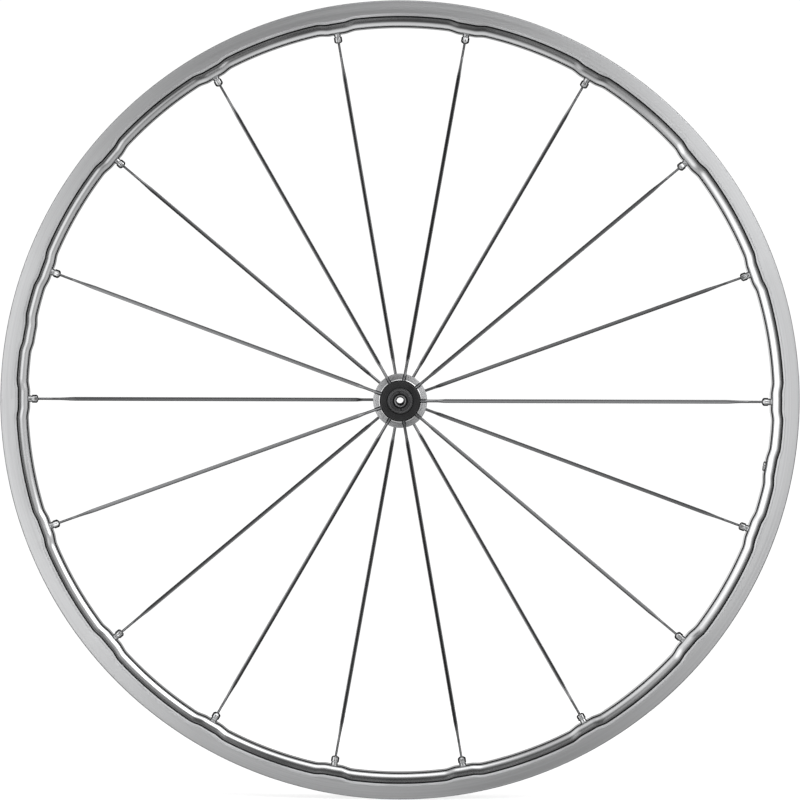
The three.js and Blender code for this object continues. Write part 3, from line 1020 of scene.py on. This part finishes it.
def build_caps(looks):
    """The adjuster nut, with its spanner holes, and the fixed end cap."""
    nut = make_cap("adjuster_nut_fine", -1, looks)
    start = (SPANNER_RADIUS, -CAP_FACE - 1, 0)
    end = (SPANNER_RADIUS, -CAP_FACE + 3, 0)
    verts, faces = cylinder(SPANNER_HOLE, start, end)
    holes = [(rotated(verts, angle), faces) for angle in (SPANNER_ANGLE, SPANNER_ANGLE + 180)]
    cut(nut, [joined_cutters("spanner_holes", holes)])
    place(nut, "axle", "black_alloy", "adjuster_nut")
    cap = make_cap("left_end_cap_fine", 1, looks)
    place(cap, "axle", "black_alloy", "left_end_cap")


# ---- Bearings ----------------------------------------------------------------------------------------


def race_outline(plain, towards):
    """A race's section from its plain face to its grooved face; towards is +1 for the outer race."""
    land = PITCH_RADIUS + towards * LAND_GAP
    reach = math.sqrt(GROOVE_RADIUS ** 2 - LAND_GAP ** 2)
    arc = []
    for k in range(9):
        y = reach * (1 - k / 4)
        arc.append((PITCH_RADIUS + towards * math.sqrt(GROOVE_RADIUS ** 2 - y * y), y))
    half = BEARING_HALF
    return [(plain, -half), (plain, half), (land, half), *arc, (land, -half)]


def ball_mesh():
    """One ball, at the first place on its pitch circle."""
    rings = []
    for row in range(1, BALL_ROWS):
        t = math.pi * row / BALL_ROWS
        ring = []
        for column in range(BALL_COLUMNS):
            turn = 2 * math.pi * column / BALL_COLUMNS
            x = BALL_RADIUS * math.sin(t) * math.cos(turn) + PITCH_RADIUS
            z = BALL_RADIUS * math.sin(t) * math.sin(turn)
            ring.append((x, BALL_RADIUS * math.cos(t), z))
        rings.append(ring)
    return loft(rings[::-1], False)


def ball_set_mesh(sign):
    """Nine balls and the crown cage that spaces them."""
    inner = PITCH_RADIUS - CAGE_HALF_HEIGHT
    outer = PITCH_RADIUS + CAGE_HALF_HEIGHT
    cage = [(inner, CAGE_START), (outer, CAGE_START), (outer, CAGE_END), (inner, CAGE_END)]
    ball_verts, ball_faces = ball_mesh()
    balls = [(rotated(ball_verts, 360 * i / BALLS), ball_faces) for i in range(BALLS)]
    return joined([turned(mirrored(cage, sign), 90), *balls])


def shifted(verts, y):
    """Points moved along the axle."""
    return [(v[0], v[1] + y, v[2]) for v in verts]


def seal_outline(towards):
    """A seal's section, in the bearing's face on that side of its middle."""
    low = PITCH_RADIUS - LAND_GAP + 0.2
    high = PITCH_RADIUS + LAND_GAP - 0.2
    near = towards * (BEARING_HALF - SEAL_SINK)
    far = towards * (BEARING_HALF - SEAL_SINK - SEAL_THICKNESS)
    return filleted([(low, near, 0.15), (high, near, 0.1), (high, far, 0.05), (low, far, 0.05)], 3)


def build_bearing(side, sign, looks):
    """A cartridge bearing: its races, its balls in their cage and its seals."""
    parts = (
        ("outer_race", turned(race_outline(BEARING_RADIUS, 1), 128), "bearing", "wheel", "bearing_steel"),
        ("inner_race", turned(race_outline(CAP_BORE, -1), 128), "bearing", "axle", "bearing_steel"),
        ("ball_set", ball_set_mesh(sign), "bearing", f"{side}_balls", "bearing_steel"),
        ("outer_seal", turned(seal_outline(sign), 128), "seal", "wheel", "seal_rubber"),
        ("inner_seal", turned(seal_outline(-sign), 128), "seal", "wheel", "seal_rubber"),
    )
    for part, (verts, faces), look, body, slot in parts:
        moved = shifted(verts, sign * BEARING_MIDDLE)
        piece = make_object(f"{side}_{part}_fine", moved, faces, [looks[look]])
        place(piece, body, slot, f"{side}_{part}")


# ---- Stage -------------------------------------------------------------------------------------------

# Angles in degrees, lengths in metres.
CAMERA_DISTANCE = 2.6
CAMERA_AZIMUTH = -0.15
CAMERA_ELEVATION = 0.7
CAMERA_ROLL = 0.25
VIEW_WIDTH = 0.6368
AIM = Vector((-0.00007, 0, 0.00026))
SENSOR_WIDTH = 36


def make_camera():
    """The camera, which looks along the axle from the wheel's right side."""
    data = bpy.data.cameras.new("camera")
    data.sensor_width = SENSOR_WIDTH
    data.lens = SENSOR_WIDTH * CAMERA_DISTANCE / VIEW_WIDTH
    data.clip_end = 100
    camera = bpy.data.objects.new("camera", data)
    bpy.context.scene.collection.objects.link(camera)
    azimuth = math.radians(CAMERA_AZIMUTH)
    elevation = math.radians(CAMERA_ELEVATION)
    sideways = math.sin(azimuth) * math.cos(elevation)
    forwards = -math.cos(azimuth) * math.cos(elevation)
    back = Vector((sideways, forwards, math.sin(elevation)))
    camera.location = AIM + back * CAMERA_DISTANCE
    camera.rotation_euler = back.to_track_quat("Z", "Y").to_euler()
    camera.rotation_euler.rotate_axis("Z", math.radians(CAMERA_ROLL))
    bpy.context.scene.camera = camera


# The studio's soft lights as the wheel sees them, in degrees: the angle around the axle, the angle from the
# camera's side of the axle, how far the light fades out to, and how bright it is.
SOFT_BOXES = {
    "right_near": (8, 20, 20, 0.33),
    "right_wide": (6, 60, 36, 0.1),
    "upper_right": (42, 52, 26, 2.2),
    "overhead": (86, 58, 24, 0.8),
    "from_below": (270, 64, 36, 0.25),
    "upper_left": (147, 58, 34, 0.35),
    "left_near": (182, 24, 26, 0.5),
    "left_wide": (185, 42, 33, 0.95),
    "lower_right": (334, 22, 15, 0.65),
    "behind_left": (180, 168, 14, 0.35),
}
# Brightness of the rest of the studio, from the camera's side (0) to behind the wheel (1).
STUDIO = (
    (0.0, 0.03),
    (0.035, 0.06),
    (0.13, 0.38),
    (0.28, 0.46),
    (0.42, 0.38),
    (0.53, 0.1),
    (0.59, 0.015),
    (0.96, 0.02),
    (0.985, 0.35),
)
CORE_SHARE = 0.3  # the part of a soft light that has its full brightness


def direction(around, tilt):
    """The unit vector towards a soft light."""
    turn = math.radians(around)
    lean = math.radians(tilt)
    return Vector((math.cos(turn) * math.sin(lean), -math.cos(lean), math.sin(turn) * math.sin(lean)))


def surround(shading, looking):
    """The grey of the studio, which changes from the camera's side to behind the wheel."""
    split = shading.node("ShaderNodeSeparateXYZ")
    shading.link(looking, split.inputs[0])
    behind = shading.node("ShaderNodeMath", operation="MULTIPLY_ADD")
    behind.inputs[1].default_value = 0.5
    behind.inputs[2].default_value = 0.5
    shading.link(split.outputs["Y"], behind.inputs[0])
    ramp = shading.node("ShaderNodeValToRGB")
    ramp.color_ramp.interpolation = "EASE"
    while len(ramp.color_ramp.elements) < len(STUDIO):
        ramp.color_ramp.elements.new(0.5)
    for element, (position, grey) in zip(ramp.color_ramp.elements, STUDIO):
        element.position = position
        element.color = (grey, grey, grey, 1)
    shading.link(behind.outputs[0], ramp.inputs["Fac"])
    return ramp.outputs["Color"]


def soft_box(shading, looking, around, tilt, spread, strength):
    """The brightness of one soft light, which fades out towards its edge."""
    towards = shading.node("ShaderNodeVectorMath", operation="DOT_PRODUCT")
    towards.inputs[1].default_value = direction(around, tilt)
    shading.link(looking, towards.inputs[0])
    fade = shading.node("ShaderNodeMapRange", interpolation_type="SMOOTHSTEP")
    fade.inputs["From Min"].default_value = math.cos(math.radians(spread))
    fade.inputs["From Max"].default_value = math.cos(math.radians(spread * CORE_SHARE))
    fade.inputs["To Max"].default_value = strength
    shading.link(towards.outputs["Value"], fade.inputs["Value"])
    return fade.outputs["Result"]


def make_world():
    """A white backdrop for the camera, and a grey studio with soft lights for everything else."""
    world = bpy.data.worlds.new("studio")
    bpy.context.scene.world = world
    world.use_nodes = True
    world.node_tree.nodes.clear()
    shading = Shading(world.node_tree)
    looking = shading.node("ShaderNodeTexCoord").outputs["Generated"]
    light = surround(shading, looking)
    for box in SOFT_BOXES.values():
        bright = soft_box(shading, looking, *box)
        total = shading.node("ShaderNodeMath", operation="ADD")
        shading.link(light, total.inputs[0])
        shading.link(bright, total.inputs[1])
        light = total.outputs[0]
    studio = shading.node("ShaderNodeBackground")
    shading.link(light, studio.inputs["Color"])
    backdrop = shading.node("ShaderNodeBackground")
    backdrop.inputs["Color"].default_value = (1, 1, 1, 1)
    backdrop.inputs["Strength"].default_value = 1.05
    mix = shading.node("ShaderNodeMixShader")
    shading.link(shading.node("ShaderNodeLightPath").outputs["Is Camera Ray"], mix.inputs["Fac"])
    shading.link(studio.outputs[0], mix.inputs[1])
    shading.link(backdrop.outputs[0], mix.inputs[2])
    shading.link(mix.outputs[0], shading.node("ShaderNodeOutputWorld").inputs["Surface"])


def make_stage():
    """A pale round floor just below the wheel."""
    count = 96
    level = -RIM_RADIUS - 0.5
    circle = [polar(1, 0, 360 * k / count) for k in range(count)]
    verts = [(radius * x, radius * z, level) for radius in (10, 700) for x, _, z in circle]
    faces = [(k, (k + 1) % count, count + (k + 1) % count, count + k) for k in range(count)]
    faces.append(tuple(range(count - 1, -1, -1)))
    look = Surface("pale_floor", (0.93, 0.93, 0.93), 0.0, 0.9)
    look.set("Emission Color", (1, 1, 1, 1))
    look.set("Emission Strength", 0.8)
    vector, _ = look.local()
    look.tint(look.noise(vector, 1.5, 2.0), 0.99, 1.01)
    floor = make_object("floor", verts, faces, [look.material])
    floor.visible_glossy = False


def set_view():
    """Plain colours, with no film look."""
    settings = bpy.context.scene.view_settings
    settings.view_transform = "Standard"
    settings.look = "None"
    settings.exposure = 0
    settings.gamma = 1


# ---- Build -------------------------------------------------------------------------------------------

looks = make_materials()
make_camera()
set_view()
make_world()
make_stage()

build_rim(looks)
build_grommet(looks)
build_spokes(looks)
build_hub_shell(looks)
build_axle(looks)
build_caps(looks)
for side, (sign, _) in SIDES.items():
    build_cover(side, sign, looks)
    build_bearing(side, sign, looks)
